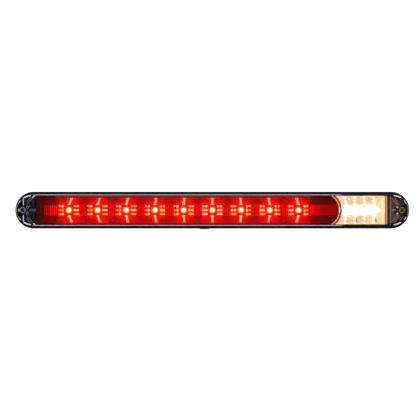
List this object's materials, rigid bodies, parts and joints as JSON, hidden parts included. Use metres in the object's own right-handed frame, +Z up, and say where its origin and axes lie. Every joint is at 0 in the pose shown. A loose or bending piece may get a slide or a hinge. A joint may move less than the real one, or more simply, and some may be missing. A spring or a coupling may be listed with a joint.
{
  "type": "third brake light",
  "caption": "Slim sealed LED high-mount brake lamp bar with rounded ends, a long red section, a short clear white section and a screw hole at each end.",
  "frame": {"origin": "middle of the flat back, halfway between the two screw holes", "axes": "+X right along the lamp seen from the front, +Y out of the back into the vehicle, +Z up; the lens faces -Y"},
  "size_m": [0.438, 0.025, 0.0416],
  "materials": {
    "black_housing": "gloss",
    "clear_cover": "polished",
    "red_lens": "polished",
    "clear_optic": "polished",
    "bright_plating": "polished",
    "circuit_board": "gloss",
    "led_base": "matte",
    "red_glow": "gloss",
    "white_glow": "gloss",
    "resistor_black": "satin",
    "moulded_black": "matte",
    "capacitor_ceramic": "satin",
    "zinc_steel": "satin",
    "tinned_copper": "satin",
    "sealant": "satin",
    "gasket_foam": "matte",
    "grommet_rubber": "matte"
  },
  "bodies": {
    "root": {"brake_input_diode": "moulded_black", "clear_inner_lens": "clear_optic", "housing": "black_housing", "lead_grommet": "grommet_rubber", "lead_terminals": "tinned_copper", "lens_seal": "sealant", "link_wire_ground": "tinned_copper", "link_wire_supply": "tinned_copper", "outer_lens": "clear_cover", "rear_gasket": "gasket_foam", "red_board_screws": "zinc_steel", "red_circuit_board": "circuit_board", "red_driver_chip": "moulded_black", "red_filter_capacitor": "capacitor_ceramic", "red_inner_lens": "red_lens", "red_led_1_base": "led_base", "red_led_1_dome": "red_glow", "red_led_2_base": "led_base", "red_led_2_dome": "red_glow", "red_led_3_base": "led_base", "red_led_3_dome": "red_glow", "red_led_4_base": "led_base", "red_led_4_dome": "red_glow", "red_led_5_base": "led_base", "red_led_5_dome": "red_glow", "red_led_6_base": "led_base", "red_led_6_dome": "red_glow", "red_led_7_base": "led_base", "red_led_7_dome": "red_glow", "red_led_8_base": "led_base", "red_led_8_dome": "red_glow", "red_led_9_base": "led_base", "red_led_9_dome": "red_glow", "red_reflector": "bright_plating", "red_resistors": "resistor_black", "section_divider": "bright_plating", "surge_suppressor": "moulded_black", "tail_input_diode": "moulded_black", "white_board_screws": "zinc_steel", "white_circuit_board": "circuit_board", "white_driver_chip": "moulded_black", "white_filter_capacitor": "capacitor_ceramic", "white_input_diode": "moulded_black", "white_led_1_base": "led_base", "white_led_1_dome": "white_glow", "white_led_2_base": "led_base", "white_led_2_dome": "white_glow", "white_led_3_base": "led_base", "white_led_3_dome": "white_glow", "white_led_4_base": "led_base", "white_led_4_dome": "white_glow", "white_reflector": "bright_plating", "white_resistors": "resistor_black"}
  },
  "joints": []
}
